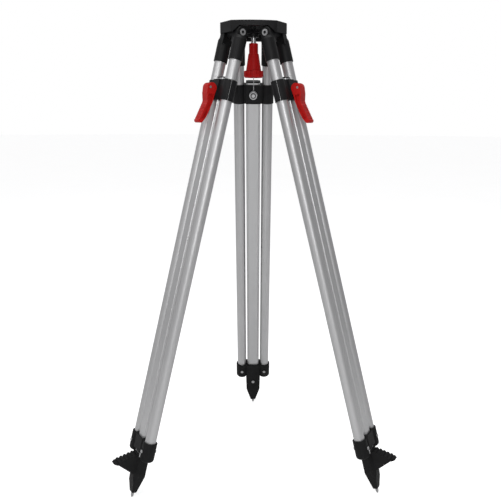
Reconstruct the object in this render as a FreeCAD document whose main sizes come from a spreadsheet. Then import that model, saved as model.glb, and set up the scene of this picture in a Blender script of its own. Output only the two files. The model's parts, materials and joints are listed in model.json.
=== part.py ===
import FreeCAD, Part
import math
import os
import Sketcher

# Surveyor's tripod with a flat head, a captive centre screw and three
# telescopic legs, drawn fully collapsed and standing.
# Origin: centre of the head's flat top face. +Z is up, +Y points to the rear leg.
# Every leg piece is drawn in its leg's own axes and then placed:
# origin on the hinge axis, x outward, y along the hinge axis, z up the leg.

Vector = FreeCAD.Vector
doc = FreeCAD.newDocument("surveyor_tripod")
params = doc.addObject("Spreadsheet::Sheet", "params")


class Size:
    """A number together with the spreadsheet expression that gives it."""

    def __init__(self, number, text):
        self.number = number
        self.text = text

    def __add__(self, other):
        return Size(self.number + number(other), "(%s + %s)" % (self.text, text(other)))

    def __sub__(self, other):
        return Size(self.number - number(other), "(%s - %s)" % (self.text, text(other)))

    def __mul__(self, other):
        return Size(self.number * number(other), "(%s * %s)" % (self.text, text(other)))

    def __truediv__(self, other):
        return Size(self.number / number(other), "(%s / %s)" % (self.text, text(other)))

    def __neg__(self):
        return Size(-self.number, "(0 - %s)" % self.text)


def number(value):
    return value.number if isinstance(value, Size) else float(value)


def text(value):
    if isinstance(value, Size):
        return value.text
    if value < 0:
        return "(0 - %.6f)" % -value
    return "%.6f" % value


row_count = [0]


def size(name, value, meaning):
    """Adds one named size to the spreadsheet."""
    row_count[0] += 1
    row = row_count[0]
    params.set("A%d" % row, name.replace("_", " "))
    params.set("B%d" % row, str(value))
    params.set("C%d" % row, meaning)
    params.setAlias("B%d" % row, name)
    return Size(float(value), "params.%s" % name)


# ---- head and centre screw ----
face_radius = size("face_radius", 68.9, "centre to each short face, over a leg")
face_half = size("face_half", 23.0, "half length of a short face")
face_bulge = size("face_bulge", 7.5, "rise of the curved long faces")
skirt_depth = size("skirt_depth", 21.9, "depth of the skirt at the short faces")
skirt_wall = size("skirt_wall", 4.2, "thickness of the skirt")
deck_thick = size("deck_thick", 8.0, "thickness of the flat top")
opening_radius = size("opening_radius", 29.0, "hole the centre screw moves about in")
hinge_radius = size("hinge_radius", 49.0, "centre of the head to a hinge axis")
hinge_drop = size("hinge_drop", 23.6, "top face down to a hinge axis")
lug_half = size("lug_half", 18.3, "half width of the lug between the two hinge caps")
lug_radius = size("lug_radius", 7.0, "rounding of the lug below the hinge")
arm_bottom = size("arm_bottom", 20.5, "top face down to the underside of the arm")
arm_thick = size("arm_thick", 5.0, "thickness of the arm")
arm_half = size("arm_half", 13.0, "half width of the arm")
arm_reach = size("arm_reach", 38.0, "pivot to the centre of the head")
slot_half = size("slot_half", 8.0, "half width of the arm's slot")
slot_reach = size("slot_reach", 21.9, "half length of the arm's slot")
thread_radius = size("thread_radius", 7.9375, "outside of the 5/8 inch thread")
shank_radius = size("shank_radius", 5.0, "plain shank of the centre screw")
sleeve_radius = size("sleeve_radius", 11.4, "sleeve below the arm, outside")
sleeve_bottom = size("sleeve_bottom", 27.6, "top face down to the end of the sleeve")
knob_top = size("knob_top", 39.6, "top face down to the top of the knob")
knob_bottom = size("knob_bottom", 109.0, "top face down to the knob's underside")
knob_radius = size("knob_radius", 21.4, "rim of the knob")

# ---- legs ----
leg_angle = size("leg_angle", 15.68, "slope of a leg from the vertical, degrees")
tube_radius = size("tube_radius", 12.5, "outside of a leg tube")
tube_wall = size("tube_wall", 1.3, "wall of a leg tube")
tube_offset = size("tube_offset", 33.2, "leg centre to a tube's axis")
tube_top = size("tube_top", 26.0, "hinge down to the tube's upper end")
tube_bottom = size("tube_bottom", 955.5, "hinge down to the tube's lower end")
cap_radius = size("cap_radius", 14.75, "outside of a hinge cap")
cap_bottom = size("cap_bottom", 57.0, "hinge down to the cap's open end")
cap_shoulder = size("cap_shoulder", 14.0, "hinge down to the cap's shoulder")
ear_radius = size("ear_radius", 12.0, "rounding of the cap's ear")
ear_inner = size("ear_inner", 18.7, "leg centre to the ear's inner face")
ear_outer = size("ear_outer", 38.0, "leg centre to the ear's outer face")
bolt_radius = size("bolt_radius", 4.0, "M8 hinge bolt and clamp bolt")
clamp_top = size("clamp_top", 98.6, "hinge down to the clamp's upper edge")
clamp_bottom = size("clamp_bottom", 141.4, "hinge down to the clamp's lower edge")
clamp_wrap = size("clamp_wrap", 14.5, "outside of the clamp around a tube")
clamp_bore = size("clamp_bore", 12.8, "clamp's bore, released")
pin_out = size("pin_out", 31.7, "leg centre out to the lever pin")
pin_down = size("pin_down", 120.8, "hinge down to the lever pin")
pin_radius = size("pin_radius", 2.5, "lever pin")
lever_half = size("lever_half", 12.0, "half width of the lever")
profile_half = size("profile_half", 16.8, "half width of the sliding profile")
profile_deep = size("profile_deep", 10.0, "half depth of the sliding profile")
profile_top = size("profile_top", 94.6, "hinge down to the profile's upper end")
profile_bottom = size("profile_bottom", 1008.0, "hinge down to the profile's lower end")
end_cap_top = size("end_cap_top", 91.7, "hinge down to the top of the profile's cap")
guide_rim = size("guide_rim", 913.5, "hinge down to the rim of the lower guide")
guide_bottom = size("guide_bottom", 959.5, "hinge down to the bottom of its cups")
guide_radius = size("guide_radius", 16.3, "outside of a cup")
rivet_down = size("rivet_down", 935.5, "hinge down to the tube rivets")
foot_top = size("foot_top", 959.9, "hinge down to the top of the foot")
foot_taper = size("foot_taper", 1005.0, "hinge down to where the foot narrows")
foot_bottom = size("foot_bottom", 1054.5, "hinge down to the bottom of the foot")
foot_half = size("foot_half", 21.0, "half width of the foot")
foot_rivet_down = size("foot_rivet_down", 976.0, "hinge down to the foot rivet")
spike_radius = size("spike_radius", 3.4, "steel point")
leg_length = size("leg_length", 1066.0, "hinge down to the tip of the point")

LEGS = (("rear", 90.0), ("left", 210.0), ("right", 330.0))
finished = []


def body(name, placement=None):
    """A new named body, in the head's axes or placed with a leg."""
    item = doc.addObject("PartDesign::Body", name)
    item.Label = name
    if placement is not None:
        item.Placement = placement
    finished.append(item)
    return item


def sketch(item, role, offset=0.0):
    """A sketch on one of the body's own planes, moved along its normal."""
    plane = [o for o in item.Origin.OriginFeatures if o.Role == role][0]
    drawing = item.newObject("Sketcher::SketchObject", item.Name + "_sketch")
    drawing.AttachmentSupport = [(plane, "")]
    drawing.MapMode = "FlatFace"
    drawing.AttachmentOffset = FreeCAD.Placement(Vector(0, 0, number(offset)), FreeCAD.Rotation())
    if isinstance(offset, Size):
        drawing.setExpression("AttachmentOffset.Base.z", offset.text)
    return drawing


def pin_value(drawing, kind, first, second, value):
    """One distance constraint, bound to the spreadsheet when it has a name."""
    amount = number(value)
    if amount < 0:
        first, second = second, first
        amount = -amount
        value = -value if isinstance(value, Size) else -value
    index = drawing.addConstraint(
        Sketcher.Constraint(kind, first[0], first[1], second[0], second[1], amount)
    )
    if isinstance(value, Size):
        drawing.setExpression("Constraints[%d]" % index, value.text)


def fix_point(drawing, geometry, position, x, y):
    for value, kind, axis in ((x, "DistanceX", -2), (y, "DistanceY", -1)):
        if abs(number(value)) < 1e-9:
            drawing.addConstraint(Sketcher.Constraint("PointOnObject", geometry, position, axis))
        else:
            pin_value(drawing, kind, (-1, 1), (geometry, position), value)


def circle(drawing, x, y, radius):
    centre = Vector(number(x), number(y), 0)
    index = drawing.addGeometry(Part.Circle(centre, Vector(0, 0, 1), number(radius)))
    fix_point(drawing, index, 3, x, y)
    place = drawing.addConstraint(Sketcher.Constraint("Radius", index, number(radius)))
    if isinstance(radius, Size):
        drawing.setExpression("Constraints[%d]" % place, radius.text)


def loop(drawing, points, arcs=None):
    """A closed outline, counter-clockwise. arcs gives the centre of the arc that
    leaves a corner, for the corners whose next side is round."""
    arcs = arcs or {}
    count = len(points)
    sides = []
    for i in range(count):
        start = Vector(number(points[i][0]), number(points[i][1]), 0)
        after = points[(i + 1) % count]
        end = Vector(number(after[0]), number(after[1]), 0)
        if i in arcs:
            centre = Vector(number(arcs[i][0]), number(arcs[i][1]), 0)
            ring = Part.Circle(centre, Vector(0, 0, 1), start.distanceToPoint(centre))
            first = math.atan2(start.y - centre.y, start.x - centre.x)
            last = math.atan2(end.y - centre.y, end.x - centre.x)
            if last <= first:
                last += 2 * math.pi
            sides.append(drawing.addGeometry(Part.ArcOfCircle(ring, first, last)))
        else:
            sides.append(drawing.addGeometry(Part.LineSegment(start, end)))
    for i in range(count):
        after = sides[(i + 1) % count]
        drawing.addConstraint(Sketcher.Constraint("Coincident", sides[i], 2, after, 1))
        fix_point(drawing, sides[i], 1, points[i][0], points[i][1])
    for i in arcs:
        run = number(points[(i + 1) % count][0]) - number(points[i][0])
        rise = number(points[(i + 1) % count][1]) - number(points[i][1])
        if abs(run) > abs(rise):
            if abs(number(arcs[i][1])) > 1e-9:
                pin_value(drawing, "DistanceY", (-1, 1), (sides[i], 3), arcs[i][1])
            else:
                drawing.addConstraint(Sketcher.Constraint("PointOnObject", sides[i], 3, -1))
        elif abs(number(arcs[i][0])) > 1e-9:
            pin_value(drawing, "DistanceX", (-1, 1), (sides[i], 3), arcs[i][0])
        else:
            drawing.addConstraint(Sketcher.Constraint("PointOnObject", sides[i], 3, -2))


def rectangle(drawing, left, right, low, high):
    loop(drawing, [(left, low), (right, low), (right, high), (left, high)])


def polygon_ring(drawing, x, y, radius, sides):
    """A regular polygon, such as a hexagon head or socket."""
    points = []
    for i in range(sides):
        angle = 2 * math.pi * i / sides
        points.append(
            (number(x) + number(radius) * math.cos(angle), number(y) + number(radius) * math.sin(angle))
        )
    loop(drawing, points)


def bind_length(feature, length):
    feature.Length = number(length)
    if isinstance(length, Size):
        feature.setExpression("Length", length.text)


def pad(item, drawing, length, symmetric=False, backward=False):
    """Adds material along the sketch's normal."""
    feature = item.newObject("PartDesign::Pad", item.Name + "_pad")
    feature.Profile = drawing
    if symmetric:
        feature.SideType = "Symmetric"
    feature.Reversed = backward
    bind_length(feature, length)
    drawing.Visibility = False
    return feature


def pocket(item, drawing, length=None, forward=False):
    """Removes material against the sketch's normal, or right through both ways."""
    feature = item.newObject("PartDesign::Pocket", item.Name + "_pocket")
    feature.Profile = drawing
    if length is None:
        feature.SideType = "Symmetric"
        feature.Type = "ThroughAll"
    else:
        feature.Reversed = forward
        bind_length(feature, length)
    drawing.Visibility = False
    return feature


def slot_through(item, drawing, width):
    """Removes a band of a stated width centred on the sketch's plane."""
    feature = item.newObject("PartDesign::Pocket", item.Name + "_slot")
    feature.Profile = drawing
    feature.SideType = "Symmetric"
    bind_length(feature, width)
    drawing.Visibility = False
    return feature


def revolve(item, drawing, axis="V_Axis"):
    feature = item.newObject("PartDesign::Revolution", item.Name + "_revolution")
    feature.Profile = drawing
    feature.ReferenceAxis = (drawing, [axis])
    feature.Angle = 360
    drawing.Visibility = False
    return feature


def around(item, features, count):
    """Repeats features about the body's Z axis."""
    axis = [o for o in item.Origin.OriginFeatures if o.Role == "Z_Axis"][0]
    feature = item.newObject("PartDesign::PolarPattern", item.Name + "_pattern")
    feature.Originals = features
    feature.Axis = (axis, [""])
    feature.Angle = 360
    feature.Occurrences = count
    item.Tip = feature
    return feature


def fillet(item, radius, test):
    """Rounds the edges of the body's last feature that pass a test."""
    doc.recompute()
    last = item.Tip
    names = []
    for i, edge in enumerate(last.Shape.Edges):
        if test(edge):
            names.append("Edge%d" % (i + 1))
    feature = item.newObject("PartDesign::Fillet", item.Name + "_fillet")
    feature.Base = (last, names)
    feature.Radius = radius
    return feature


def level(edge, z):
    """True when a whole edge lies at height z."""
    box = edge.BoundBox
    return abs(box.ZMin - z) < 0.01 and abs(box.ZMax - z) < 0.01


def facing_out(edge, reach):
    """True when an edge lies on a face that looks along the hinge axis."""
    box = edge.BoundBox
    return box.YLength < 0.01 and abs(abs(box.YMin) - reach) < 0.01


def upright(edge):
    """True when an edge is a straight line along Z."""
    box = edge.BoundBox
    return box.XLength < 0.01 and box.YLength < 0.01


def leg_placement(azimuth):
    """Where a leg stands: its hinge on the head, sloping outward."""
    angle = math.radians(azimuth)
    radius = hinge_radius.number
    base = Vector(radius * math.cos(angle), radius * math.sin(angle), -hinge_drop.number)
    turn = FreeCAD.Rotation(Vector(0, 0, 1), azimuth)
    lean = FreeCAD.Rotation(Vector(0, 1, 0), -leg_angle.number)
    return FreeCAD.Placement(base, turn.multiply(lean))


# =================== head ===================
def head_outline(drawing, radius, half, bulge):
    """Three short straight faces over the legs, joined by three curved long faces."""
    points = []
    for azimuth in (90, 210, 330):
        c = math.cos(math.radians(azimuth))
        s = math.sin(math.radians(azimuth))
        points.append((radius * c + half * s, radius * s - half * c))
        points.append((radius * c - half * s, radius * s + half * c))
    chord = radius * math.sqrt(3.0) - half
    arc_radius = (chord * chord / 4 + bulge * bulge) / (bulge * 2)
    apothem = radius * 0.5 + half * (math.sqrt(3.0) / 2)
    back = apothem + bulge - arc_radius
    arcs = {}
    for i, azimuth in enumerate((150, 270, 30)):
        c = math.cos(math.radians(azimuth))
        s = math.sin(math.radians(azimuth))
        arcs[2 * i + 1] = (back * c, back * s)
    loop(drawing, points, arcs)


head = body("head_plate")
outline = sketch(head, "XY_Plane")
head_outline(outline, face_radius, face_half, face_bulge)
pad(head, outline, skirt_depth, backward=True)
fillet(head, 2.5, upright)
fillet(head, 1.5, lambda edge: level(edge, 0.0))
inside = sketch(head, "XY_Plane", -deck_thick)
head_outline(inside, face_radius - skirt_wall, face_half - 2.4, face_bulge)
pocket(head, inside, skirt_depth)

# arch over each long face, so that the hinge caps clear the skirt
arch = sketch(head, "XZ_Plane", 40.0)
loop(arch, [(-54.9, -30), (54.9, -30), (29.5, -10), (-29.5, -10)])
arch_cut = pocket(head, arch, 40.0, forward=True)

lug = sketch(head, "YZ_Plane")
loop(
    lug,
    [
        (hinge_radius - lug_radius, -hinge_drop),
        (hinge_radius + lug_radius, -hinge_drop),
        (hinge_radius + lug_radius, -deck_thick + 1),
        (hinge_radius - lug_radius, -deck_thick + 1),
    ],
    {0: (hinge_radius, -hinge_drop)},
)
lug_pad = pad(head, lug, lug_half * 2, symmetric=True)

rib = sketch(head, "YZ_Plane")
loop(rib, [(29.5, -11.0), (42.5, -21.0), (42.5, -7.0), (29.5, -7.0)])
rib_pad = pad(head, rib, 5.0, symmetric=True)

web = sketch(head, "YZ_Plane")
loop(web, [(55.0, -19.5), (65.0, -19.5), (65.0, -7.0), (55.0, -7.0)])
web_pad = pad(head, web, 5.0, symmetric=True)


def ear_room(offset):
    """Space for one hinge cap's ear beside the lug."""
    room = sketch(head, "YZ_Plane", offset)
    wide = ear_radius + 0.7
    loop(
        room,
        [
            (hinge_radius + wide, -hinge_drop),
            (hinge_radius - wide, -hinge_drop),
            (hinge_radius - wide, -hinge_drop - 9.0),
            (hinge_radius + wide, -hinge_drop - 9.0),
        ],
        {0: (hinge_radius, -hinge_drop)},
    )
    return pocket(head, room, 26.5)


room_one = ear_room(lug_half + 26.5)
room_two = ear_room(-lug_half)
bolt_hole = sketch(head, "YZ_Plane")
circle(bolt_hole, hinge_radius, -hinge_drop, bolt_radius + 0.05)
bolt_cut = slot_through(head, bolt_hole, lug_half * 2 + 10)
around(head, [arch_cut, lug_pad, rib_pad, web_pad, room_one, room_two, bolt_cut], 3)

opening = sketch(head, "XY_Plane", 1.0)
circle(opening, 0, 0, opening_radius)
pocket(head, opening, deck_thick + 20)

pivot_x = arm_reach * math.cos(math.radians(150))
pivot_y = arm_reach * math.sin(math.radians(150))
boss = sketch(head, "XY_Plane", arm_thick - arm_bottom + 0.1)
circle(boss, pivot_x, pivot_y, 8.0)
pad(head, boss, 8.0)
boss_hole = sketch(head, "XY_Plane", -4.0)
circle(boss_hole, pivot_x, pivot_y, 3.0)
pocket(head, boss_hole, 15.0)

# =================== arm, block and centre screw ===================
arm_place = FreeCAD.Placement(Vector(0, 0, 0), FreeCAD.Rotation(Vector(0, 0, 1), 330))

arm = body("swing_arm", arm_place)
arm_shape = sketch(arm, "XY_Plane", -arm_bottom)
loop(
    arm_shape,
    [
        (-arm_reach, -9.5),
        (-25.0, -arm_half),
        (21.0, -arm_half),
        (30.0, -6.0),
        (30.0, 6.0),
        (21.0, arm_half),
        (-25.0, arm_half),
        (-arm_reach, 9.5),
    ],
    {7: (-arm_reach, 0)},
)
pad(arm, arm_shape, arm_thick)
arm_slot = sketch(arm, "XY_Plane")
rectangle(arm_slot, -slot_reach, slot_reach, -slot_half, slot_half)
pocket(arm, arm_slot)
arm_bore = sketch(arm, "XY_Plane")
circle(arm_bore, -arm_reach, 0, 3.05)
pocket(arm, arm_bore)
fillet(arm, 1.0, lambda edge: level(edge, -arm_bottom.number) and edge.Length > 9)

screw = body("arm_pivot_screw", arm_place)
screw_head = sketch(screw, "XY_Plane", -arm_bottom - 2.6)
circle(screw_head, -arm_reach, 0, 6.5)
pad(screw, screw_head, 2.5)
screw_shank = sketch(screw, "XY_Plane", -arm_bottom - 0.1)
circle(screw_shank, -arm_reach, 0, 3.0)
pad(screw, screw_shank, 16.0)
screw_socket = sketch(screw, "XY_Plane", -arm_bottom - 1.2)
polygon_ring(screw_socket, -arm_reach.number, 0, 2.3, 6)
pocket(screw, screw_socket, 5.0)

block = body("slide_block", arm_place)
block_flange = sketch(block, "XY_Plane", -15.35)
rectangle(block_flange, -12.0, 12.0, -12.0, 12.0)
pad(block, block_flange, 3.15)
block_neck = sketch(block, "XY_Plane", -20.2)
rectangle(block_neck, -9.5, 9.5, slot_half * -1 + 0.3, slot_half - 0.3)
pad(block, block_neck, 4.95)
block_spigot = sketch(block, "XY_Plane", -sleeve_bottom)
circle(block_spigot, 0, 0, slot_half - 0.3)
pad(block, block_spigot, sleeve_bottom - 20.0)
block_bore = sketch(block, "XY_Plane")
circle(block_bore, 0, 0, shank_radius + 0.05)
pocket(block, block_bore)

sleeve = body("block_sleeve", arm_place)
sleeve_ring = sketch(sleeve, "XY_Plane", -sleeve_bottom)
circle(sleeve_ring, 0, 0, sleeve_radius)
circle(sleeve_ring, 0, 0, slot_half - 0.3)
pad(sleeve, sleeve_ring, sleeve_bottom - arm_bottom - 0.2)
fillet(sleeve, 0.8, lambda edge: level(edge, -sleeve_bottom.number) and edge.Length > 60)

washer = body("knob_washer")
washer_ring = sketch(washer, "XY_Plane", -knob_top + 0.1)
circle(washer_ring, 0, 0, 6.4)
circle(washer_ring, 0, 0, shank_radius + 0.05)
pad(washer, washer_ring, 1.6)

centre = body("centre_screw")
centre_half = sketch(centre, "XZ_Plane")
loop(
    centre_half,
    [
        (0, -58.0),
        (shank_radius, -58.0),
        (shank_radius, -12.1),
        (thread_radius, -12.1),
        (thread_radius, -2.2),
        (thread_radius - 1.2, -1.0),
        (0, -1.0),
    ],
)
revolve(centre, centre_half)

knob = body("centre_knob")
knob_half = sketch(knob, "XZ_Plane")
loop(
    knob_half,
    [
        (0, -knob_bottom + 2.0),
        (13.0, -knob_bottom + 2.0),
        (14.0, -knob_bottom),
        (knob_radius - 2.2, -knob_bottom),
        (knob_radius, -knob_bottom + 2.8),
        (knob_radius, -96.4),
        (knob_radius - 0.9, -95.4),
        (16.6, -95.2),
        (11.4, -61.2),
        (10.5, -60.2),
        (9.8, -60.0),
        (9.8, -knob_top - 0.9),
        (9.0, -knob_top),
        (shank_radius, -knob_top),
        (shank_radius, -58.0),
        (0, -58.0),
    ],
)
revolve(knob, knob_half)
flute = sketch(knob, "XY_Plane", -95.0)
circle(flute, knob_radius + 2.6, 0, 3.4)
flute_cut = pocket(knob, flute, 20.0)
around(knob, [flute_cut], 16)

hook = body("plumb_hook")
hook_path = sketch(hook, "YZ_Plane")
path_stem = hook_path.addGeometry(Part.LineSegment(Vector(0, -107.0, 0), Vector(0, -131.0, 0)))
path_bend = hook_path.addGeometry(
    Part.ArcOfCircle(Part.Circle(Vector(4, -131.0, 0), Vector(0, 0, 1), 4), math.pi, 2 * math.pi)
)
path_end = hook_path.addGeometry(Part.LineSegment(Vector(8, -131.0, 0), Vector(8, -128.0, 0)))
for piece in (path_stem, path_bend, path_end):
    hook_path.addConstraint(Sketcher.Constraint("Block", piece))
hook_wire = sketch(hook, "XY_Plane", -107.0)
circle(hook_wire, 0, 0, 0.75)
doc.recompute()
pipe = hook.newObject("PartDesign::AdditivePipe", "hook_pipe")
pipe.Profile = hook_wire
pipe.Spine = (hook_path, ["Edge1", "Edge2", "Edge3"])
hook_path.Visibility = False
hook_wire.Visibility = False
hook_plate = sketch(hook, "XY_Plane", -108.2)
circle(hook_plate, 0, 0, 3.0)
pad(hook, hook_plate, 1.2)


# =================== leg pieces ===================
def hinge_cap(name, place, side):
    """Cap on a tube's upper end, with the ear that turns on the hinge bolt."""
    item = body(name, place)
    near = -ear_inner if side > 0 else ear_outer
    ear = sketch(item, "XZ_Plane", near)
    loop(
        ear,
        [(ear_radius, 0), (-ear_radius, 0), (-ear_radius, -21.0), (ear_radius, -21.0)],
        {0: (0, 0)},
    )
    pad(item, ear, ear_outer - ear_inner, backward=True)
    fillet(item, 1.5, lambda edge: facing_out(edge, ear_outer.number))
    barrel = sketch(item, "XY_Plane", -cap_bottom)
    circle(barrel, 0, tube_offset * side, cap_radius)
    pad(item, barrel, cap_bottom - cap_shoulder)
    shoulder = sketch(item, "XY_Plane", -cap_shoulder)
    circle(shoulder, 0, tube_offset * side, cap_radius)
    pad(item, shoulder, 6.0).TaperAngle = -22.0
    seat = sketch(item, "XZ_Plane", ear_outer * -side)
    circle(seat, 0, 0, 7.1)
    pocket(item, seat, 2.5, forward=side > 0)
    hole = sketch(item, "XZ_Plane")
    circle(hole, 0, 0, bolt_radius)
    pocket(item, hole)
    bore = sketch(item, "XY_Plane", -cap_bottom)
    circle(bore, 0, tube_offset * side, tube_radius)
    pocket(item, bore, cap_bottom - tube_top, forward=True)
    return item


def tube(name, place, side):
    """One drawn aluminium tube, drilled for the lower guide's rivet."""
    item = body(name, place)
    ring = sketch(item, "XY_Plane", -tube_bottom)
    circle(ring, 0, tube_offset * side, tube_radius)
    circle(ring, 0, tube_offset * side, tube_radius - tube_wall)
    pad(item, ring, tube_bottom - tube_top)
    hole = sketch(item, "YZ_Plane")
    circle(hole, tube_offset * side, -rivet_down, 2.2)
    pocket(item, hole)
    return item


def hinge_fasteners(name, place):
    """Socket-head hinge bolt and the round nut on its other end."""
    item = body(name, place)
    shank = sketch(item, "XZ_Plane", -35.5)
    circle(shank, 0, 0, bolt_radius)
    pad(item, shank, 71.4)
    bolt_head = sketch(item, "XZ_Plane", -40.0)
    circle(bolt_head, 0, 0, 6.5)
    pad(item, bolt_head, 4.5)
    socket = sketch(item, "XZ_Plane", -40.0)
    polygon_ring(socket, 0, 0, 3.2, 6)
    pocket(item, socket, 4.0, forward=True)
    nut = sketch(item, "XZ_Plane", 35.5)
    circle(nut, 0, 0, 6.5)
    circle(nut, 0, 0, bolt_radius + 0.05)
    pad(item, nut, 0.5)
    nut_end = sketch(item, "XZ_Plane", 36.0)
    circle(nut_end, 0, 0, 6.5)
    polygon_ring(nut_end, 0, 0, 3.2, 6)
    pad(item, nut_end, 4.0)
    return item


def profile_outline(drawing, grow):
    """Section of the sliding profile: a wide flat with a step along each edge."""
    deep = profile_deep + grow
    wide = profile_half + grow
    points = [
        (deep, -12.2 - grow),
        (deep, 12.2 + grow),
        (deep - 1.8, 13.2 + grow),
        (deep - 1.8, wide - 1.8),
        (deep - 3.6, wide),
    ]
    for x, y in reversed(points[2:]):
        points.append((-x, y))
    points.append((-deep, 12.2 + grow))
    points.append((-deep, -12.2 - grow))
    for x, y in ((deep - 1.8, 13.2 + grow), (deep - 1.8, wide - 1.8), (deep - 3.6, wide)):
        points.append((-x, -y if isinstance(y, Size) else -y))
    for x, y in ((deep - 3.6, wide), (deep - 1.8, wide - 1.8), (deep - 1.8, 13.2 + grow)):
        points.append((x, -y if isinstance(y, Size) else -y))
    loop(drawing, points)


def slide_profile(name, place):
    """Flat hollow profile that slides between the two tubes."""
    item = body(name, place)
    section = sketch(item, "XY_Plane", -profile_bottom)
    profile_outline(section, 0.0)
    pad(item, section, profile_bottom - profile_top)
    hollow = sketch(item, "XY_Plane", -profile_top)
    rectangle(hollow, -profile_deep + 1.6, profile_deep - 1.6, -11.4, 11.4)
    pocket(item, hollow, profile_bottom)
    for side in (-1, 1):
        channel = sketch(item, "XY_Plane", -profile_top)
        low, high = sorted((side * 12.8, side * 15.2))
        rectangle(channel, -5.0, 5.0, low, high)
        pocket(item, channel, profile_bottom)
    bolt = sketch(item, "YZ_Plane")
    circle(bolt, 0, -pin_down, bolt_radius + 0.1)
    pocket(item, bolt)
    rivet = sketch(item, "YZ_Plane")
    circle(rivet, 0, -foot_rivet_down, 2.4)
    pocket(item, rivet)
    return item


def profile_end_cap(name, place):
    """Plastic cap plugged into the profile's upper end."""
    item = body(name, place)
    plate = sketch(item, "XY_Plane", -profile_top)
    profile_outline(plate, 0.0)
    pad(item, plate, profile_top - end_cap_top)
    fillet(item, 1.0, lambda edge: level(edge, -end_cap_top.number))
    plug = sketch(item, "XY_Plane", -profile_top)
    rectangle(plug, -profile_deep + 1.6, profile_deep - 1.6, -11.4, 11.4)
    pad(item, plug, 12.0, backward=True)
    return item


def clamp_half(name, place, outer):
    """One half of the clamp that wraps the tubes; the inner half holds the profile."""
    item = body(name, place)
    tall = clamp_bottom - clamp_top
    wraps = sketch(item, "XY_Plane", -clamp_bottom)
    for side in (-1, 1):
        circle(wraps, 0, tube_offset * side, clamp_wrap)
    pad(item, wraps, tall)
    middle = sketch(item, "XY_Plane", -clamp_bottom)
    rectangle(middle, -13.2, 13.2, -17.6, 17.6)
    pad(item, middle, tall)
    bridge = sketch(item, "XY_Plane", -clamp_bottom)
    rectangle(bridge, -9.0, 13.4 if outer else 9.0, -tube_offset, tube_offset)
    pad(item, bridge, tall)
    if outer:
        seat = sketch(item, "XY_Plane", -clamp_bottom)
        rectangle(seat, 0, 16.6, -13.0, 13.0)
        pad(item, seat, tall)
    trim = sketch(item, "XY_Plane", -clamp_top)
    if outer:
        rectangle(trim, -30, 4.6, -60, 60)
    else:
        rectangle(trim, 3.4, 30, -60, 60)
    pocket(item, trim, tall + 1)
    window = sketch(item, "XY_Plane", -clamp_top)
    profile_outline(window, 0.0)
    pocket(item, window, tall + 1)
    bores = sketch(item, "XY_Plane", -clamp_top)
    for side in (-1, 1):
        circle(bores, 0, tube_offset * side, clamp_bore)
    pocket(item, bores, tall + 1)
    hole = sketch(item, "YZ_Plane")
    circle(hole, 0, -pin_down, bolt_radius + 0.1)
    pocket(item, hole)
    if not outer:
        seat = sketch(item, "YZ_Plane", -12.2)
        circle(seat, 0, -pin_down, 10.3)
        pocket(item, seat, 5.0)
    return item


def clamp_fasteners(name, place):
    """Eye bolt that carries the lever pin, and its flanged nut on the inner face."""
    item = body(name, place)
    shank = sketch(item, "YZ_Plane", -21.5)
    circle(shank, 0, -pin_down, bolt_radius)
    pad(item, shank, 50.2)
    eye = sketch(item, "XZ_Plane")
    circle(eye, pin_out, -pin_down, 4.2)
    pad(item, eye, 7.4, symmetric=True)
    pin_hole = sketch(item, "XZ_Plane")
    circle(pin_hole, pin_out, -pin_down, pin_radius)
    pocket(item, pin_hole)
    flange = sketch(item, "YZ_Plane", -14.2)
    circle(flange, 0, -pin_down, 9.3)
    circle(flange, 0, -pin_down, bolt_radius + 0.05)
    pad(item, flange, 2.0)
    collar = sketch(item, "YZ_Plane", -16.4)
    circle(collar, 0, -pin_down, 8.7)
    circle(collar, 0, -pin_down, bolt_radius + 0.05)
    pad(item, collar, 2.2)
    rim = sketch(item, "YZ_Plane", -20.2)
    circle(rim, 0, -pin_down, 8.7)
    circle(rim, 0, -pin_down, 6.5)
    pad(item, rim, 3.8)
    return item


def lever(name, place):
    """Cam lever, closed: forked head on the pin and a cranked, grooved handle."""
    item = body(name, place)
    head_x = pin_out.number - 4.2
    head_z = -pin_down.number
    reach = 10.5
    tip_x = 37.0
    tip_z = -192.6
    tip = 4.5
    side_view = [
        (head_x + 10.4, head_z - math.sqrt(reach ** 2 - 10.4 ** 2)),
        (head_x - 10.3, head_z - math.sqrt(reach ** 2 - 10.3 ** 2)),
        (19.0, -135.0),
        (19.4, -147.5),
        (23.4, -169.0),
        (27.6, -184.5),
        (tip_x + tip * math.cos(math.radians(200)), tip_z + tip * math.sin(math.radians(200))),
        (tip_x + tip * math.cos(math.radians(20)), tip_z + tip * math.sin(math.radians(20))),
    ]
    ridges = 9
    for i in range(ridges):
        part = i / ridges
        x = 40.4 - 7.2 * part
        z = -188.6 + 32.0 * part
        side_view.append((x - 0.8, z))
        side_view.append((x, z + 1.1))
    side_view.append((32.4, -155.0))
    side_view.append((32.0, -149.0))
    side_view.append((36.4, -135.0))
    drawing = sketch(item, "XZ_Plane")
    loop(drawing, side_view, {0: (head_x, head_z), 6: (tip_x, tip_z)})
    pad(item, drawing, lever_half * 2, symmetric=True)
    fork = sketch(item, "XZ_Plane")
    rectangle(fork, 10.0, 36.3, -128.4, -104.0)
    slot_through(item, fork, 8.8)
    for side in (-1, 1):
        recess = sketch(item, "XZ_Plane", lever_half * -side)
        loop(
            recess,
            [
                (32.4, -134.5),
                (21.8, -134.5),
                (22.2, -148.0),
                (26.2, -168.5),
                (30.4, -186.0),
                (36.6, -188.0),
                (33.8, -174.0),
                (30.2, -159.0),
                (28.8, -149.5),
            ],
        )
        pocket(item, recess, 4.0, forward=side > 0)
    hole = sketch(item, "XZ_Plane")
    circle(hole, pin_out, -pin_down, pin_radius + 0.05)
    pocket(item, hole)
    return item


def lever_pin(name, place):
    item = body(name, place)
    drawing = sketch(item, "XZ_Plane")
    circle(drawing, pin_out, -pin_down, pin_radius)
    pad(item, drawing, lever_half * 2 + 0.6, symmetric=True)
    return item


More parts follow.
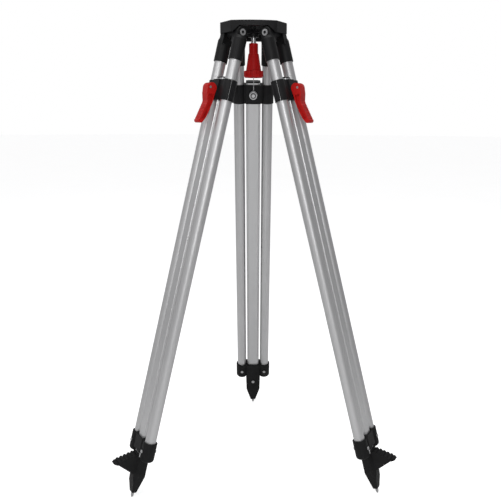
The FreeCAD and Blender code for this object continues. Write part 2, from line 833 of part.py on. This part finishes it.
def guide_bracket(name, place):
    """Two cups on the tubes' lower ends, with a window the profile slides in."""
    item = body(name, place)
    cups = sketch(item, "XY_Plane", -guide_bottom)
    for side in (-1, 1):
        circle(cups, 0, tube_offset * side, guide_radius)
    pad(item, cups, guide_bottom - guide_rim)
    fillet(item, 7.0, lambda edge: level(edge, -guide_bottom.number))
    middle = sketch(item, "XY_Plane", -946.0)
    loop(
        middle,
        [(-14.4, -17.5), (-10.5, -23.0), (10.5, -23.0), (14.4, -17.5),
         (14.4, 17.5), (10.5, 23.0), (-10.5, 23.0), (-14.4, 17.5)],
    )
    pad(item, middle, Size(946.0, "946") - guide_rim)
    skirt = sketch(item, "XY_Plane", -guide_bottom)
    rectangle(skirt, -14.4, 0, -19.0, 19.0)
    pad(item, skirt, 20.0)
    for side in (-1, 1):
        peak = sketch(item, "YZ_Plane")
        loop(
            peak,
            sorted_corner(side, [(13.5, -guide_rim - 1), (24.0, -guide_rim - 1), (18.9, -guide_rim + 4.5)]),
        )
        pad(item, peak, 26.0, symmetric=True)
    window = sketch(item, "XY_Plane", -880.0)
    profile_outline(window, 0.3)
    pocket(item, window, 100.0)
    bores = sketch(item, "XY_Plane", -880.0)
    for side in (-1, 1):
        circle(bores, 0, tube_offset * side, tube_radius)
    pocket(item, bores, tube_bottom - 880.0)
    holes = sketch(item, "YZ_Plane")
    for side in (-1, 1):
        circle(holes, tube_offset * side, -rivet_down, 2.2)
    pocket(item, holes)
    for face in (-1, 1):
        spot = sketch(item, "YZ_Plane", 15.6 * face)
        for side in (-1, 1):
            circle(spot, tube_offset * side, -rivet_down, 4.3)
        pocket(item, spot, 4.0, forward=face > 0)
    return item


def sorted_corner(side, points, along_x=False):
    """The same corners on the other side, still counter-clockwise."""
    if side > 0:
        return points
    if along_x:
        return [(x, -y) for x, y in reversed(points)]
    return [(-x, y) for x, y in reversed(points)]


def bracket_rivets(name, place):
    """One domed rivet through each cup and tube."""
    item = body(name, place)
    shanks = sketch(item, "YZ_Plane")
    for side in (-1, 1):
        circle(shanks, tube_offset * side, -rivet_down, 2.2)
    pad(item, shanks, 33.0, symmetric=True)
    for face in (-1, 1):
        start = 15.6 if face > 0 else -17.9
        heads = sketch(item, "YZ_Plane", start)
        for side in (-1, 1):
            circle(heads, tube_offset * side, -rivet_down, 4.0)
        pad(item, heads, 2.3)
    return item


def foot(name, place):
    """Cast shoe with a ribbed step plate, wedge-shaped towards the point."""
    item = body(name, place)
    shoe = sketch(item, "XY_Plane", -foot_bottom)
    loop(
        shoe,
        [(-12.8, -foot_half), (4.5, -foot_half), (13.0, -10.5),
         (13.0, 10.5), (4.5, foot_half), (-12.8, foot_half)],
    )
    pad(item, shoe, foot_bottom - foot_top)
    fillet(item, 2.5, upright)
    for side in (-1, 1):
        narrow = sketch(item, "YZ_Plane")
        corners = [
            (foot_half - 1.0, -foot_taper), (6.5, -foot_bottom), (6.5, -1070.0), (40.0, -1070.0),
            (40.0, -foot_top + 5), (foot_half, -foot_top + 5), (foot_half, -foot_top),
        ]
        if side < 0:
            corners = [(-y, z) for y, z in reversed(corners)]
        loop(narrow, corners)
        pocket(item, narrow)
    front = sketch(item, "XZ_Plane")
    loop(front, [(13.0, -foot_taper - 6), (5.2, -foot_bottom), (5.2, -1070.0), (40.0, -1070.0),
                 (40.0, -foot_taper - 6)])
    pocket(item, front)
    back = sketch(item, "XZ_Plane")
    loop(back, [(-12.8, -foot_taper), (-40.0, -foot_taper), (-40.0, -1070.0),
                (-5.6, -1070.0), (-5.6, -foot_bottom)])
    pocket(item, back)
    fillet(item, 3.4, lambda edge: level(edge, -foot_bottom.number))
    step = sketch(item, "XZ_Plane")
    points = [(10.0, -1005.3), (24.0, -997.2), (55.0, -979.6), (61.5, -980.0), (64.6, -978.8),
              (65.4, -976.8)]
    for i in range(6):
        x = 60.3 - 8.1 * i
        z = -976.9 + 3.95 * i
        points.append((x + 2.6, z - 0.4))
        points.append((x + 1.4, z + 1.9))
        points.append((x - 1.8, z + 2.4))
        points.append((x - 4.2, z + 0.9))
    points.append((14.5, -952.0))
    points.append((10.0, -953.0))
    loop(step, points)
    pad(item, step, 25.0, symmetric=True)
    tip_corners = sketch(item, "XY_Plane", -960.0)
    for side in (-1, 1):
        loop(tip_corners, sorted_corner(side, [(56.5, 12.6), (66.0, 6.0), (66.0, 12.6)], True))
    pocket(item, tip_corners, 30.0)
    well = sketch(item, "XY_Plane", -foot_top + 20)
    profile_outline(well, 0.0)
    pocket(item, well, profile_bottom - foot_top + 20)
    point = sketch(item, "XY_Plane", -1040.0)
    circle(point, 0, 0, spike_radius)
    pocket(item, point, 40.0)
    rivet = sketch(item, "YZ_Plane", 10.0)
    circle(rivet, 0, -foot_rivet_down, 2.4)
    pocket(item, rivet, 40.0)
    return item


def spike(name, place):
    item = body(name, place)
    half = sketch(item, "XZ_Plane")
    loop(
        half,
        [(0, -leg_length), (1.8, -leg_length), (spike_radius, -leg_length + 5),
         (spike_radius, -1040.0), (0, -1040.0)],
    )
    revolve(item, half)
    return item


def foot_rivet(name, place):
    item = body(name, place)
    shank = sketch(item, "YZ_Plane", -13.6)
    circle(shank, 0, -foot_rivet_down, 2.4)
    pad(item, shank, 23.6)
    dome = sketch(item, "YZ_Plane", -15.3)
    circle(dome, 0, -foot_rivet_down, 4.6)
    pad(item, dome, 1.8)
    return item


for leg, azimuth in LEGS:
    place = leg_placement(azimuth)
    hinge_cap("hinge_cap_a_" + leg, place, -1)
    hinge_cap("hinge_cap_b_" + leg, place, 1)
    tube("tube_a_" + leg, place, -1)
    tube("tube_b_" + leg, place, 1)
    hinge_fasteners("hinge_fasteners_" + leg, place)
    slide_profile("slide_profile_" + leg, place)
    profile_end_cap("profile_end_cap_" + leg, place)
    clamp_half("clamp_inner_" + leg, place, False)
    clamp_half("clamp_outer_" + leg, place, True)
    clamp_fasteners("clamp_fasteners_" + leg, place)
    lever("lever_" + leg, place)
    lever_pin("lever_pin_" + leg, place)
    guide_bracket("guide_bracket_" + leg, place)
    bracket_rivets("bracket_rivets_" + leg, place)
    foot("foot_" + leg, place)
    spike("spike_" + leg, place)
    foot_rivet("foot_rivet_" + leg, place)

doc.recompute()
problems = []
for thing in doc.Objects:
    if "Invalid" in thing.State or "Error" in thing.State:
        problems.append("%s (%s): %s" % (thing.Name, thing.TypeId, ",".join(thing.State)))
for item in finished:
    if item.Shape.isNull() or not item.Shape.isValid() or item.Shape.Volume <= 0:
        problems.append("bad shape " + item.Label)
for line in problems:
    print(line)
if problems:
    raise SystemExit(1)

os.makedirs("parts", exist_ok=True)
for item in finished:
    item.Shape.exportStep("parts/" + item.Label + ".step")
    box = item.Shape.BoundBox
    print("%-24s %d solid %9.1f mm3" % (item.Label, len(item.Shape.Solids), item.Shape.Volume))
print(len(finished), "pieces")
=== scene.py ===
import bpy
import json
import math
from mathutils import Matrix, Vector


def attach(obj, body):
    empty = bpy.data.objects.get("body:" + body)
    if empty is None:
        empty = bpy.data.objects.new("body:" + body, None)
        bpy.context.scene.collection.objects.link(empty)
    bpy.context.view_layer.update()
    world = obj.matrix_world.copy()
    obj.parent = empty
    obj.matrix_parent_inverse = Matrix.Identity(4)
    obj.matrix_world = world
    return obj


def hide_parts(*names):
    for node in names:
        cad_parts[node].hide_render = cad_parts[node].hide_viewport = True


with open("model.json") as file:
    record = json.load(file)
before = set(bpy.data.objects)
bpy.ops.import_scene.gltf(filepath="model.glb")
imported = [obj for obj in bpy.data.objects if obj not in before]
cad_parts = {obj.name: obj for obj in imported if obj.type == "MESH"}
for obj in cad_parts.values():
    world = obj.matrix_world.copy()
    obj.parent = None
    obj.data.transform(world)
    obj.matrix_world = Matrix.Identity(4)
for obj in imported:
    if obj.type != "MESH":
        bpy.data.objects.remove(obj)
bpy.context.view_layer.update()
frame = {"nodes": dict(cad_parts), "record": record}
nodes = frame["nodes"]

# Name and azimuth in degrees of each leg, and where the legs hang, in metres.
LEGS = (("rear", 90.0), ("left", 210.0), ("right", 330.0))
LEAN = math.radians(15.68)
HINGE_RADIUS = 0.049
HINGE_DROP = 0.0236
FLOOR_Z = -1.05

# Bolts, in millimetres. The clamp bolt is measured down the leg from the hinge.
CLAMP_BOLT_DOWN = 120.8
# The socket radius and the nut recess radii bound where painted shade darkens the steel.
SOCKET_RADIUS = 3.1
NUT_RECESS_INNER = 4.1
NUT_RECESS_OUTER = 6.5

# Centre screw, in metres: 5/8 inch thread, 11 turns to the inch.
THREAD_RADIUS = 0.0079375
THREAD_DEPTH = 0.00135
THREAD_PITCH = 0.0254 / 11
THREAD_BOTTOM = -0.0121
THREAD_TOP = -0.0010
THREAD_CHAMFER = 0.0012
SHANK_RADIUS = 0.005
SHANK_BOTTOM = -0.0580

# Camera: metres and radians, lens and sensor in millimetres, shifts in sensor widths.
CAMERA_TURN = 0.0134
CAMERA_DISTANCE = 1.452
CAMERA_HEIGHT = FLOOR_Z + 0.8602
CAMERA_PITCH = 0.2937
CAMERA_YAW = 0.0240 + CAMERA_TURN
CAMERA_ROLL = 0.0046
SENSOR = 36
LENS = 44.6737
SHIFT_X = -0.035768
SHIFT_Y = 0.107186


# ---------------- leg axes ----------------
def leg_axes(azimuth):
    """Outward normal, hinge direction and upward direction of a leg, and its hinge point."""
    a = math.radians(azimuth)
    out = Vector((math.cos(a), math.sin(a), 0))
    along = Vector((-math.sin(a), math.cos(a), 0))
    normal = out * math.cos(LEAN) + Vector((0, 0, math.sin(LEAN)))
    up = -out * math.sin(LEAN) + Vector((0, 0, math.cos(LEAN)))
    hinge = out * HINGE_RADIUS + Vector((0, 0, -HINGE_DROP))
    return normal, along, up, hinge


AXES = {name: leg_axes(azimuth) for name, azimuth in LEGS}
AXES["head"] = (Vector((1, 0, 0)), Vector((0, 1, 0)), Vector((0, 0, 1)), Vector((0, 0, 0)))


def link(name, data):
    """A new object in the scene, holding a mesh, a light or a camera."""
    thing = bpy.data.objects.new(name, data)
    bpy.context.scene.collection.objects.link(thing)
    return thing


# ---------------- camera ----------------
def make_camera():
    """The calibrated camera, aimed by its yaw, pitch and roll."""
    back = Vector((-math.sin(CAMERA_TURN), -math.cos(CAMERA_TURN), 0))
    place = back * CAMERA_DISTANCE + Vector((0, 0, CAMERA_HEIGHT))
    level = Vector((math.sin(CAMERA_YAW), math.cos(CAMERA_YAW), 0))
    ahead = level * math.cos(CAMERA_PITCH) - Vector((0, 0, math.sin(CAMERA_PITCH)))
    flat = Vector((math.cos(CAMERA_YAW), -math.sin(CAMERA_YAW), 0))
    upright = flat.cross(ahead)
    right = flat * math.cos(CAMERA_ROLL) + upright * math.sin(CAMERA_ROLL)
    up = upright * math.cos(CAMERA_ROLL) - flat * math.sin(CAMERA_ROLL)
    data = bpy.data.cameras.new("camera")
    data.sensor_width = SENSOR
    data.lens = LENS
    data.shift_x = SHIFT_X
    data.shift_y = SHIFT_Y
    data.clip_start = 0.05
    data.clip_end = 200
    camera = link("camera", data)
    camera.matrix_world = Matrix(
        (
            (right.x, up.x, -ahead.x, place.x),
            (right.y, up.y, -ahead.y, place.y),
            (right.z, up.z, -ahead.z, place.z),
            (0, 0, 0, 1),
        )
    )
    bpy.context.scene.camera = camera


make_camera()
bpy.context.scene.view_settings.view_transform = "Standard"


# ---------------- materials ----------------
class Nodes:
    """Builds one node material around its principled shader."""

    def __init__(self, name, leg="head"):
        self.material = bpy.data.materials.new(name)
        self.material.use_nodes = True
        self.tree = self.material.node_tree
        self.shader = self.tree.nodes["Principled BSDF"]
        self.leg = leg
        self.place = None

    def add(self, kind, **values):
        node = self.tree.nodes.new(kind)
        for key, value in values.items():
            setattr(node, key, value)
        return node

    def link(self, start, end):
        self.tree.links.new(start, end)

    def coordinates(self, scale=(1, 1, 1)):
        """Position in millimetres along the piece's own axes, times a scale."""
        if self.place is None:
            self.place = self.add("ShaderNodeTexCoord").outputs["Object"]
        join = self.add("ShaderNodeCombineXYZ")
        for i, axis in enumerate(AXES[self.leg][:3]):
            dot = self.add("ShaderNodeVectorMath", operation="DOT_PRODUCT")
            self.link(self.place, dot.inputs[0])
            dot.inputs[1].default_value = axis * 1000 * scale[i]
            self.link(dot.outputs["Value"], join.inputs[i])
        return join.outputs[0]

    def noise(self, size, scale=(1, 1, 1), detail=3.0, rough=0.55):
        """Noise with features of about the stated size in millimetres."""
        texture = self.add("ShaderNodeTexNoise")
        texture.inputs["Scale"].default_value = 1.0 / size
        texture.inputs["Detail"].default_value = detail
        texture.inputs["Roughness"].default_value = rough
        self.link(self.coordinates(scale), texture.inputs["Vector"])
        return texture.outputs["Fac"]

    def spread(self, value, low, high, start=0.3, end=0.7):
        """Maps a value between start and end to a value between low and high, and clamps it."""
        node = self.add("ShaderNodeMapRange")
        node.inputs["From Min"].default_value = start
        node.inputs["From Max"].default_value = end
        node.inputs["To Min"].default_value = low
        node.inputs["To Max"].default_value = high
        self.link(value, node.inputs["Value"])
        return node.outputs["Result"]

    def colour(self, value, dark, light, start=0.3, end=0.7):
        """Mixes two colours by a value, into the base colour."""
        ramp = self.add("ShaderNodeValToRGB")
        ramp.color_ramp.elements[0].position = start
        ramp.color_ramp.elements[0].color = (*dark, 1)
        ramp.color_ramp.elements[1].position = end
        ramp.color_ramp.elements[1].color = (*light, 1)
        self.link(value, ramp.inputs["Fac"])
        self.link(ramp.outputs["Color"], self.shader.inputs["Base Color"])

    def roughness(self, value):
        self.link(value, self.shader.inputs["Roughness"])

    def bump(self, value, height, strength):
        """Raises the surface by a value, with the height in millimetres."""
        node = self.add("ShaderNodeBump")
        node.inputs["Distance"].default_value = height / 1000
        node.inputs["Strength"].default_value = strength
        self.link(value, node.inputs["Height"])
        self.link(node.outputs["Normal"], self.shader.inputs["Normal"])

    def set(self, **values):
        for key, value in values.items():
            self.shader.inputs[key.replace("_", " ")].default_value = value


def anodised(name, leg, light, dark, rough):
    """Satin anodised aluminium with faint draw lines along its length."""
    m = Nodes(name, leg)
    m.set(Metallic=1.0)
    lines = m.noise(0.6, (1, 1, 0.004), 2.0)
    cloud = m.noise(60, (1, 1, 0.3), 3.0)
    m.colour(cloud, dark, light)
    m.roughness(m.spread(lines, rough - 0.03, rough + 0.04))
    m.bump(lines, 0.002, 0.5)
    return m.material


def painted(name, leg, rough):
    """Satin black paint over a casting."""
    m = Nodes(name, leg)
    cloud = m.noise(18)
    grain = m.noise(0.9, (1, 1, 1), 4.0)
    m.colour(cloud, (0.006, 0.006, 0.0065), (0.010, 0.010, 0.011))
    m.roughness(m.spread(cloud, rough - 0.05, rough + 0.06))
    m.bump(grain, 0.03, 0.35)
    m.set(Specular_IOR_Level=0.19)
    return m.material


def moulded(name, leg, rough=0.48):
    """Moulded black plastic, satin."""
    m = Nodes(name, leg)
    cloud = m.noise(25)
    grain = m.noise(0.45, (1, 1, 1), 3.0)
    m.colour(cloud, (0.0045, 0.0045, 0.005), (0.0075, 0.0075, 0.008))
    m.roughness(m.spread(grain, rough - 0.05, rough + 0.07))
    m.bump(grain, 0.02, 0.4)
    m.set(Specular_IOR_Level=0.22)
    return m.material


def textured(name, leg, rough=0.6):
    """Coarse textured black of the shoes and lower guides."""
    m = Nodes(name, leg)
    grain = m.noise(1.1, (1, 1, 1), 4.0, 0.65)
    cloud = m.noise(20)
    m.colour(cloud, (0.004, 0.004, 0.0043), (0.0075, 0.0075, 0.008))
    m.roughness(m.spread(grain, rough - 0.07, rough + 0.08))
    m.bump(grain, 0.12, 0.7)
    m.set(Specular_IOR_Level=0.2)
    return m.material


def red_plastic(name, leg, dark, light, rough):
    """Moulded red plastic, satin."""
    m = Nodes(name, leg)
    cloud = m.noise(14)
    grain = m.noise(0.5, (1, 1, 1), 3.0)
    m.colour(cloud, dark, light)
    m.roughness(m.spread(grain, rough - 0.05, rough + 0.06))
    m.bump(grain, 0.015, 0.4)
    m.set(Specular_IOR_Level=0.2)
    return m.material


def steel(name, leg, tone=0.5, rough=0.34):
    """Zinc-plated steel with faint scratches."""
    m = Nodes(name, leg)
    m.set(Metallic=1.0)
    cloud = m.noise(3.0, (1, 1, 1), 4.0)
    m.colour(cloud, (tone * 0.85, tone * 0.85, tone * 0.86), (tone, tone, tone * 1.01))
    m.roughness(m.spread(cloud, rough - 0.06, rough + 0.08))
    m.bump(m.noise(0.35), 0.008, 0.5)
    return m.material


def steel_with_painted_shade(name, leg, across, centre, inner, outer):
    """The same steel, with painted shade darkening a recess that lies between two radii around an
    axis.
    """
    m = Nodes(name, leg)
    m.set(Metallic=1.0)
    shift = m.add("ShaderNodeVectorMath", operation="SUBTRACT")
    m.link(m.coordinates(), shift.inputs[0])
    shift.inputs[1].default_value = centre
    flat = m.add("ShaderNodeVectorMath", operation="MULTIPLY")
    m.link(shift.outputs[0], flat.inputs[0])
    flat.inputs[1].default_value = across
    length = m.add("ShaderNodeVectorMath", operation="LENGTH")
    m.link(flat.outputs[0], length.inputs[0])
    distance = length.outputs["Value"]
    edge = 0.15
    past_inner = m.spread(distance, 0.0, 1.0, inner - edge, inner + edge)
    before_outer = m.spread(distance, 1.0, 0.0, outer - edge, outer + edge)
    # Painted shade: a mask between the inner and outer radius, where the recess lies.
    painted_shade_mask = m.add("ShaderNodeMath", operation="MULTIPLY")
    m.link(past_inner, painted_shade_mask.inputs[0])
    m.link(before_outer, painted_shade_mask.inputs[1])
    cloud = m.noise(3.0, (1, 1, 1), 4.0)
    # The painted shade pulls the steel's tone down towards near black inside the mask.
    tone = m.add("ShaderNodeMath", operation="SUBTRACT")
    m.link(m.spread(cloud, 0.46, 0.56), tone.inputs[0])
    painted_shade_depth = m.spread(painted_shade_mask.outputs[0], 0.0, 0.44, 0.0, 1.0)
    m.link(painted_shade_depth, tone.inputs[1])
    m.colour(tone.outputs[0], (0.02, 0.02, 0.021), (0.56, 0.56, 0.565), 0.02, 0.56)
    m.roughness(m.spread(cloud, 0.28, 0.42))
    return m.material


def build_materials():
    """Every material slot's material, one for each set of axes."""
    table = {}
    for leg in ("head", "rear", "left", "right"):
        table["tube_aluminium", leg] = anodised(
            "tube_" + leg, leg, (0.61, 0.61, 0.615), (0.57, 0.57, 0.575), 0.47
        )
        table["profile_aluminium", leg] = anodised(
            "profile_" + leg, leg, (0.61, 0.61, 0.615), (0.575, 0.575, 0.58), 0.44
        )
        table["head_paint", leg] = painted("head_paint_" + leg, leg, 0.5)
        table["clamp_black", leg] = painted("clamp_black_" + leg, leg, 0.52)
        table["black_plastic", leg] = moulded("black_plastic_" + leg, leg)
        table["foot_black", leg] = textured("foot_black_" + leg, leg)
        table["lever_red", leg] = red_plastic(
            "lever_red_" + leg, leg, (0.42, 0.005, 0.004), (0.49, 0.008, 0.006), 0.46
        )
        table["knob_red", leg] = red_plastic(
            "knob_red_" + leg, leg, (0.42, 0.002, 0.002), (0.49, 0.004, 0.004), 0.48
        )
        table["fastener_steel", leg] = steel("fastener_steel_" + leg, leg)
        table["black_steel", leg] = painted("black_steel_" + leg, leg, 0.36)
    return table


materials = build_materials()
slots = {row["node"]: row["material_slot"] for row in frame["record"]["subparts"]}


def leg_of(name):
    """The leg that a node belongs to, or the head."""
    for leg, _ in LEGS:
        if name.endswith("_" + leg):
            return leg
    return "head"


def bolt_steels_with_painted_shade():
    """Steel for the hinge bolts and clamp nuts, by node name, with painted shade in the bolt
    sockets and the nut recesses.
    """
    made = {}
    for leg, _ in LEGS:
        normal, along, up, hinge = AXES[leg]
        spot = Vector((hinge.dot(normal), hinge.dot(along), hinge.dot(up))) * 1000
        made["hinge_fasteners_" + leg] = steel_with_painted_shade(
            "hinge_bolt_painted_socket_shade_" + leg, leg, (1, 0, 1), spot, -1.0, SOCKET_RADIUS
        )
        nut = spot - Vector((0, 0, CLAMP_BOLT_DOWN))
        made["clamp_fasteners_" + leg] = steel_with_painted_shade(
            "clamp_nut_painted_recess_shade_" + leg, leg, (0, 1, 1), nut, NUT_RECESS_INNER, NUT_RECESS_OUTER
        )
    return made


painted_shade_bolt_steels = bolt_steels_with_painted_shade()
for name, thing in nodes.items():
    material = painted_shade_bolt_steels.get(name) or materials[slots[name], leg_of(name)]
    if not thing.material_slots:
        thing.data.materials.append(material)
    for place in thing.material_slots:
        place.material = material


# ---------------- rounded edges on the CAD nodes ----------------
def soften(thing, width):
    """Joins the node's split faces and rounds its sharp edges a little."""
    weld = thing.modifiers.new("weld", "WELD")
    weld.merge_threshold = 0.00001
    bevel = thing.modifiers.new("bevel", "BEVEL")
    bevel.width = width / 1000
    bevel.segments = 2
    bevel.limit_method = "ANGLE"
    bevel.angle_limit = math.radians(28.0)


# Rounding in millimetres, by the node's name without its leg.
EDGE_ROUNDING = {
    "lever": 0.9,
    "foot": 0.8,
    "guide_bracket": 0.7,
    "clamp_inner": 0.25,
    "clamp_outer": 0.25,
    "profile_end_cap": 0.3,
    "hinge_fasteners": 0.35,
    "clamp_fasteners": 0.35,
    "bracket_rivets": 0.9,
    "foot_rivet": 0.8,
    "centre_knob": 0.4,
}


def family(name):
    """A node's name without its leg."""
    for leg, _ in LEGS:
        if name.endswith("_" + leg):
            return name[: -len(leg) - 1]
    return name


for name, thing in nodes.items():
    if family(name) in EDGE_ROUNDING:
        soften(thing, EDGE_ROUNDING[family(name)])


# ---------------- new pieces ----------------
def lathe_mesh(name, rows, steps):
    """A mesh from rows of (z, radius function of the angle), capped at both ends."""
    verts, faces = [], []
    for z, radius in rows:
        for i in range(steps):
            a = 2 * math.pi * i / steps
            r = radius(a)
            verts.append((r * math.cos(a), r * math.sin(a), z))
    for j in range(len(rows) - 1):
        for i in range(steps):
            k = (i + 1) % steps
            faces.append((j * steps + i, j * steps + k, (j + 1) * steps + k, (j + 1) * steps + i))
    faces.append(tuple(reversed(range(steps))))
    faces.append(tuple((len(rows) - 1) * steps + i for i in range(steps)))
    mesh = bpy.data.meshes.new(name)
    mesh.from_pydata(verts, [], faces)
    mesh.update()
    return mesh


def screw_steel_with_painted_thread_shade():
    """Bright steel on the shank; above the shoulder, where the thread is cut, painted shade makes
    it near black and less metallic.
    """
    m = Nodes("centre_screw_steel")
    cloud = m.noise(3.0, (1, 1, 1), 4.0)
    split = m.add("ShaderNodeSeparateXYZ")
    m.link(m.coordinates(), split.inputs[0])
    shoulder = THREAD_BOTTOM * 1000
    # Painted shade: above the shoulder the thread is painted near black, for the shade under the
    # head.
    above = m.spread(split.outputs["Z"], 0.0, 1.0, shoulder - 0.1, shoulder + 0.1)
    bright = ((0.42, 0.42, 0.43), (0.5, 0.5, 0.505))
    black = ((0.012, 0.012, 0.013), (0.02, 0.02, 0.021))
    tones = []
    for dark, light in (bright, black):
        mottle = m.add("ShaderNodeMix", data_type="RGBA")
        m.link(cloud, mottle.inputs["Factor"])
        mottle.inputs[6].default_value = (*dark, 1)
        mottle.inputs[7].default_value = (*light, 1)
        tones.append(mottle.outputs[2])
    both = m.add("ShaderNodeMix", data_type="RGBA")
    m.link(above, both.inputs["Factor"])
    m.link(tones[0], both.inputs[6])
    m.link(tones[1], both.inputs[7])
    m.link(both.outputs[2], m.shader.inputs["Base Color"])
    m.link(m.spread(above, 1.0, 0.35, 0.0, 1.0), m.shader.inputs["Metallic"])
    m.roughness(m.spread(cloud, 0.3, 0.42))
    return m.material


def threaded_screw():
    """Centre screw: plain shank and a cut 5/8 inch thread, in place of the plain CAD one."""
    chamfer_radius = THREAD_RADIUS - THREAD_CHAMFER
    rows_up = 78
    steps_round = 72

    def plain(radius):
        return lambda a: radius

    def thread(z):
        """Radius at a height, as a function of the angle: a V groove cut into the cylinder."""
        past_top = max(0.0, z - (THREAD_TOP - THREAD_CHAMFER))
        past_bottom = max(0.0, THREAD_BOTTOM + 0.0010 - z)
        limit = THREAD_RADIUS - past_top - past_bottom

        def radius(a):
            turn = (z / THREAD_PITCH - a / (2 * math.pi)) % 1.0
            wave = abs(turn * 2 - 1)
            cut = min(max((wave - 0.12) / 0.76, 0.0), 1.0)
            return min(THREAD_RADIUS - THREAD_DEPTH * cut, limit)

        return radius

    shank_heights = (SHANK_BOTTOM, -0.0383, -0.0240, THREAD_BOTTOM)
    rows = [(z, plain(SHANK_RADIUS)) for z in shank_heights]
    rows.append((THREAD_BOTTOM, plain(chamfer_radius)))
    for j in range(1, rows_up + 1):
        z = THREAD_BOTTOM + (THREAD_TOP - THREAD_BOTTOM) * j / rows_up
        rows.append((z, thread(z)))
    mesh = lathe_mesh("centre_screw_threaded", rows, steps_round)
    mesh.materials.append(screw_steel_with_painted_thread_shade())
    for polygon in mesh.polygons:
        polygon.use_smooth = len(polygon.vertices) == 4
    piece = link("centre_screw_threaded", mesh)
    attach(piece, "screw")
    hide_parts("centre_screw")


threaded_screw()


# ---------------- studio ----------------
def make_floor():
    """A plain near-white floor that also glows, for the camera only."""
    radius, corners = 30, 96
    camera_glow = 0.62
    m = Nodes("studio_floor")
    grain = m.noise(400, (1, 1, 1), 3.0)
    m.colour(grain, (0.80, 0.80, 0.80), (0.83, 0.83, 0.83))
    m.roughness(m.spread(grain, 0.75, 0.85))
    m.set(Specular_IOR_Level=0.1, Emission_Color=(1, 1, 1, 1))
    path = m.add("ShaderNodeLightPath")
    glow = m.add("ShaderNodeMath", operation="MULTIPLY")
    m.link(path.outputs["Is Camera Ray"], glow.inputs[0])
    glow.inputs[1].default_value = camera_glow
    m.link(glow.outputs[0], m.shader.inputs["Emission Strength"])
    mesh = bpy.data.meshes.new("studio_floor")
    angles = [2 * math.pi * i / corners for i in range(corners)]
    ring = [(radius * math.cos(a), radius * math.sin(a), FLOOR_Z - 0.0005) for a in angles]
    mesh.from_pydata(ring, [], [tuple(range(corners))])
    mesh.materials.append(m.material)
    floor = link("studio_floor", mesh)


def make_world():
    """White to the camera; for light and reflections, brighter to the left and behind, darker to
    the right and in front.
    """
    world = bpy.data.worlds.new("studio")
    bpy.context.scene.world = world
    world.use_nodes = True
    tree = world.node_tree
    tree.nodes.clear()
    out = tree.nodes.new("ShaderNodeOutputWorld")
    mix = tree.nodes.new("ShaderNodeMixShader")
    path = tree.nodes.new("ShaderNodeLightPath")
    seen = tree.nodes.new("ShaderNodeBackground")
    lit = tree.nodes.new("ShaderNodeBackground")
    seen.inputs["Color"].default_value = (1, 1, 1, 1)
    seen.inputs["Strength"].default_value = 1.0
    place = tree.nodes.new("ShaderNodeTexCoord")
    split = tree.nodes.new("ShaderNodeSeparateXYZ")
    tree.links.new(place.outputs["Generated"], split.inputs[0])

    def graded(axis, stops):
        """Brightness that changes with one component of the direction, between two stops."""
        ramp = tree.nodes.new("ShaderNodeMapRange")
        ramp.interpolation_type = "SMOOTHSTEP"
        ramp.inputs["From Min"].default_value = stops[0][0]
        ramp.inputs["From Max"].default_value = stops[1][0]
        ramp.inputs["To Min"].default_value = stops[0][1]
        ramp.inputs["To Max"].default_value = stops[1][1]
        tree.links.new(split.outputs[axis], ramp.inputs["Value"])
        return ramp.outputs["Result"]

    across = graded("X", ((-0.9, 1.12), (0.9, 0.80)))
    depth = graded("Y", ((-0.9, 0.62), (0.2, 1.0)))
    both = tree.nodes.new("ShaderNodeMath")
    both.operation = "MULTIPLY"
    tree.links.new(across, both.inputs[0])
    tree.links.new(depth, both.inputs[1])
    tree.links.new(both.outputs[0], lit.inputs["Strength"])
    lit.inputs["Color"].default_value = (0.50, 0.50, 0.505, 1)
    tree.links.new(path.outputs["Is Camera Ray"], mix.inputs[0])
    tree.links.new(lit.outputs[0], mix.inputs[1])
    tree.links.new(seen.outputs[0], mix.inputs[2])
    tree.links.new(mix.outputs[0], out.inputs[0])


def area_light(name, place, target, width, height, power):
    """A soft box that faces its target."""
    data = bpy.data.lights.new(name, "AREA")
    data.shape = "RECTANGLE"
    data.size = width
    data.size_y = height
    data.energy = power
    lamp = link(name, data)
    lamp.location = place
    away = Vector(place) - Vector(target)
    lamp.rotation_mode = "QUATERNION"
    lamp.rotation_quaternion = away.to_track_quat("Z", "Y")


make_floor()
make_world()
area_light("front", (0.0, -2.3, 0.25), (0, 0, -0.3), 0.8, 0.8, 11)
area_light("key", (-1.6, -2.0, 1.9), (0, 0, -0.5), 1.6, 1.2, 22)
area_light("top", (0.1, -0.5, 2.6), (0, -0.5, -0.5), 2.2, 2.2, 46)
